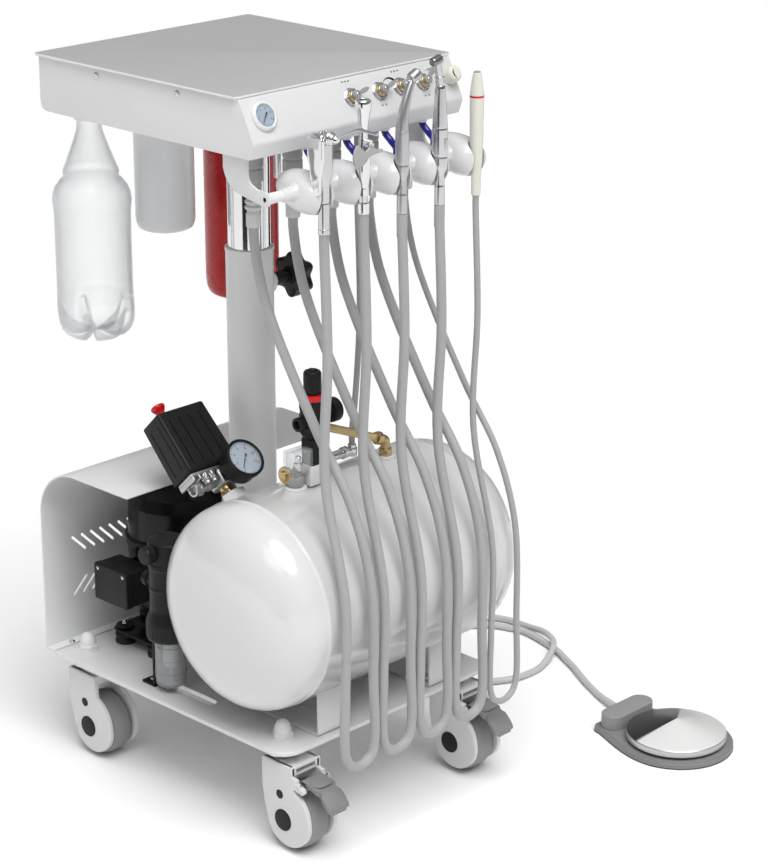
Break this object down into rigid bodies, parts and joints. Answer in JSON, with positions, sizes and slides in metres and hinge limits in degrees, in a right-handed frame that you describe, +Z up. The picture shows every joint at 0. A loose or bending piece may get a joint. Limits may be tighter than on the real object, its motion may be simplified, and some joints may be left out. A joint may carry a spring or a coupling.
{
  "type": "portable dental unit",
  "caption": "Wheeled dental cart: air tank and compressor base, telescopic column, control box with bottles, instruments in holders, foot control.",
  "frame": {"origin": "On the floor, in the middle of the box round everything except the hoses.", "axes": "+Z up, the instruments face the operator on -Y, the foot control lies at +X and -Y."},
  "size_m": [0.6864, 0.608, 0.8491],
  "materials": {
    "light_grey_paint": "satin",
    "grey_paint": "satin",
    "white_gloss_paint": "gloss",
    "white_gloss_plastic": "gloss",
    "cream_plastic": "satin",
    "black_paint": "satin",
    "black_plastic": "matte",
    "steel": "brushed",
    "chrome": "polished",
    "red_plastic": "gloss",
    "hose_grey": "matte",
    "wheel_grey": "matte",
    "grey_plastic": "matte",
    "clear_plastic": "gloss",
    "frosted_plastic": "satin"
  },
  "bodies": {
    "base": {"base_plate": "light_grey_paint", "rear_hood": "light_grey_paint", "air_tank": "white_gloss_paint", "compressor": "black_paint", "terminal_box": "black_plastic", "separator_head": "black_plastic", "separator_bowl": "clear_plastic", "switch_cover": "black_plastic", "switch_manifold": "steel", "tank_gauge": "black_plastic", "regulator_block": "steel", "regulator_body": "black_plastic", "column_outer": "light_grey_paint", "foot_control_base": "grey_plastic", "supply_hose": "hose_grey", "foot_hose": "hose_grey"},
    "upper": {"column_mast": "chrome", "control_case": "light_grey_paint", "lid_plate": "grey_paint", "holder_rail": "cream_plastic", "holder_1": "white_gloss_plastic", "holder_2": "white_gloss_plastic", "holder_3": "white_gloss_plastic", "holder_4": "white_gloss_plastic", "holder_5": "white_gloss_plastic", "instrument_hose_1": "hose_grey", "instrument_hose_2": "hose_grey", "instrument_hose_3": "hose_grey", "instrument_hose_4": "hose_grey", "instrument_hose_5": "hose_grey"},
    "fork_front_left": {"caster_fork_front_left": "light_grey_paint"},
    "wheel_front_left": {"caster_wheel_front_left": "wheel_grey"},
    "brake_front_left": {"brake_pedal_front_left": "grey_plastic"},
    "fork_front_right": {"caster_fork_front_right": "light_grey_paint"},
    "wheel_front_right": {"caster_wheel_front_right": "wheel_grey"},
    "brake_front_right": {"brake_pedal_front_right": "grey_plastic"},
    "fork_rear_left": {"caster_fork_rear_left": "light_grey_paint"},
    "wheel_rear_left": {"caster_wheel_rear_left": "wheel_grey"},
    "fork_rear_right": {"caster_fork_rear_right": "light_grey_paint"},
    "wheel_rear_right": {"caster_wheel_rear_right": "wheel_grey"},
    "switch_knob": {"switch_knob": "red_plastic"},
    "regulator_knob": {"regulator_knob": "black_plastic"},
    "clamp_knob": {"clamp_knob": "black_plastic"},
    "foot_pedal_disc": {"foot_pedal_disc": "steel"},
    "valve_lever_1": {"valve_lever_1": "grey_plastic"},
    "valve_lever_2": {"valve_lever_2": "grey_plastic"},
    "valve_lever_3": {"valve_lever_3": "grey_plastic"},
    "valve_lever_4": {"valve_lever_4": "grey_plastic"},
    "flow_knob": {"flow_knob": "cream_plastic"},
    "syringe": {"syringe": "steel"},
    "suction_valve": {"suction_valve": "steel"},
    "high_speed_handpiece": {"high_speed_handpiece": "steel"},
    "low_speed_handpiece": {"low_speed_handpiece": "steel"},
    "scaler_handpiece": {"scaler_handpiece": "cream_plastic"},
    "water_button": {"water_button": "steel"},
    "air_button": {"air_button": "steel"},
    "suction_lever": {"suction_lever": "grey_plastic"},
    "clear_bottle": {"clear_bottle": "clear_plastic"},
    "frosted_bottle": {"frosted_bottle": "frosted_plastic"},
    "red_bottle": {"red_bottle": "red_plastic"}
  },
  "joints": [
    {"name": "column_slide", "type": "slide", "parent": "base", "child": "upper", "axis": [0, 0, 1], "range_m": [0, 0.15], "deforming": ["supply_hose"]},
    {"name": "swivel_front_left", "type": "hinge", "parent": "base", "child": "fork_front_left", "pos_m": [-0.24325, -0.067, 0.099], "axis": [0, 0, 1], "continuous": true},
    {"name": "roll_front_left", "type": "hinge", "parent": "fork_front_left", "child": "wheel_front_left", "pos_m": [-0.24325, -0.0895, 0.0375], "axis": [1, 0, 0], "continuous": true},
    {"name": "brake_press_front_left", "type": "hinge", "parent": "fork_front_left", "child": "brake_front_left", "pos_m": [-0.24325, -0.1135, 0.084], "axis": [1, 0, 0], "range_deg": [0, 14]},
    {"name": "swivel_front_right", "type": "hinge", "parent": "base", "child": "fork_front_right", "pos_m": [0.02475, -0.067, 0.099], "axis": [0, 0, 1], "continuous": true},
    {"name": "roll_front_right", "type": "hinge", "parent": "fork_front_right", "child": "wheel_front_right", "pos_m": [0.02475, -0.0895, 0.0375], "axis": [1, 0, 0], "continuous": true},
    {"name": "brake_press_front_right", "type": "hinge", "parent": "fork_front_right", "child": "brake_front_right", "pos_m": [0.02475, -0.1135, 0.084], "axis": [1, 0, 0], "range_deg": [0, 14]},
    {"name": "swivel_rear_left", "type": "hinge", "parent": "base", "child": "fork_rear_left", "pos_m": [-0.24325, 0.267, 0.099], "axis": [0, 0, 1], "continuous": true},
    {"name": "roll_rear_left", "type": "hinge", "parent": "fork_rear_left", "child": "wheel_rear_left", "pos_m": [-0.24325, 0.2445, 0.0375], "axis": [1, 0, 0], "continuous": true},
    {"name": "swivel_rear_right", "type": "hinge", "parent": "base", "child": "fork_rear_right", "pos_m": [0.02475, 0.267, 0.099], "axis": [0, 0, 1], "continuous": true},
    {"name": "roll_rear_right", "type": "hinge", "parent": "fork_rear_right", "child": "wheel_rear_right", "pos_m": [0.02475, 0.2445, 0.0375], "axis": [1, 0, 0], "continuous": true},
    {"name": "switch_pull", "type": "slide", "parent": "base", "child": "switch_knob", "axis": [0, 0.7071, 0.7071], "range_m": [0, 0.005]},
    {"name": "regulator_turn", "type": "hinge", "parent": "base", "child": "regulator_knob", "pos_m": [-0.15525, -0.028, 0.505], "axis": [0, 0, 1], "range_deg": [-150, 150]},
    {"name": "clamp_turn", "type": "hinge", "parent": "base", "child": "clamp_knob", "pos_m": [-0.04125, 0.119, 0.573], "axis": [1, 0, 0], "range_deg": [0, 270]},
    {"name": "foot_pedal_press", "type": "slide", "parent": "base", "child": "foot_pedal_disc", "axis": [0, 0, 1], "range_m": [-0.003, 0], "stiffness_N_per_m": 4000, "springref_m": 0.003},
    {"name": "valve_turn_1", "type": "hinge", "parent": "upper", "child": "valve_lever_1", "pos_m": [-0.11375, -0.05978, 0.82002], "axis": [0, -0.8932, 0.4497], "range_deg": [-90, 0]},
    {"name": "valve_turn_2", "type": "hinge", "parent": "upper", "child": "valve_lever_2", "pos_m": [-0.07185, -0.05978, 0.82002], "axis": [0, -0.8932, 0.4497], "range_deg": [-90, 0]},
    {"name": "valve_turn_3", "type": "hinge", "parent": "upper", "child": "valve_lever_3", "pos_m": [-0.03975, -0.05978, 0.82002], "axis": [0, -0.8932, 0.4497], "range_deg": [-90, 0]},
    {"name": "valve_turn_4", "type": "hinge", "parent": "upper", "child": "valve_lever_4", "pos_m": [-0.00565, -0.05978, 0.82002], "axis": [0, -0.8932, 0.4497], "range_deg": [-90, 0]},
    {"name": "flow_turn", "type": "hinge", "parent": "upper", "child": "flow_knob", "pos_m": [0.03535, -0.05237, 0.81628], "axis": [0, -0.8932, 0.4497], "range_deg": [0, 270]},
    {"name": "syringe_lift", "type": "slide", "parent": "upper", "child": "syringe", "axis": [0, 0, 1], "range_m": [0, 0.03]},
    {"name": "suction_valve_lift", "type": "slide", "parent": "upper", "child": "suction_valve", "axis": [0, 0, 1], "range_m": [0, 0.03]},
    {"name": "high_speed_handpiece_lift", "type": "slide", "parent": "upper", "child": "high_speed_handpiece", "axis": [0, 0, 1], "range_m": [0, 0.03]},
    {"name": "low_speed_handpiece_lift", "type": "slide", "parent": "upper", "child": "low_speed_handpiece", "axis": [0, 0, 1], "range_m": [0, 0.03]},
    {"name": "scaler_handpiece_lift", "type": "slide", "parent": "upper", "child": "scaler_handpiece", "axis": [0, 0, 1], "range_m": [0, 0.03]},
    {"name": "water_button_press", "type": "slide", "parent": "syringe", "child": "water_button", "axis": [0, 0, 1], "range_m": [-0.0015, 0], "stiffness_N_per_m": 200, "springref_m": 0.001},
    {"name": "air_button_press", "type": "slide", "parent": "syringe", "child": "air_button", "axis": [0, 0, 1], "range_m": [-0.0015, 0], "stiffness_N_per_m": 200, "springref_m": 0.001},
    {"name": "suction_lever_turn", "type": "hinge", "parent": "suction_valve", "child": "suction_lever", "pos_m": [-0.13925, -0.103, 0.777], "axis": [0, 1, 0], "range_deg": [-30, 20]},
    {"name": "clear_bottle_unscrew", "type": "hinge", "parent": "upper", "child": "clear_bottle", "pos_m": [-0.22725, 0.248, 0.7], "axis": [0, 0, 1], "range_deg": [-360, 0]},
    {"name": "frosted_bottle_unscrew", "type": "hinge", "parent": "upper", "child": "frosted_bottle", "pos_m": [-0.14425, 0.22, 0.7], "axis": [0, 0, 1], "range_deg": [-360, 0]},
    {"name": "red_bottle_unscrew", "type": "hinge", "parent": "upper", "child": "red_bottle", "pos_m": [-0.03425, 0.213, 0.7], "axis": [0, 0, 1], "range_deg": [-360, 0]}
  ]
}
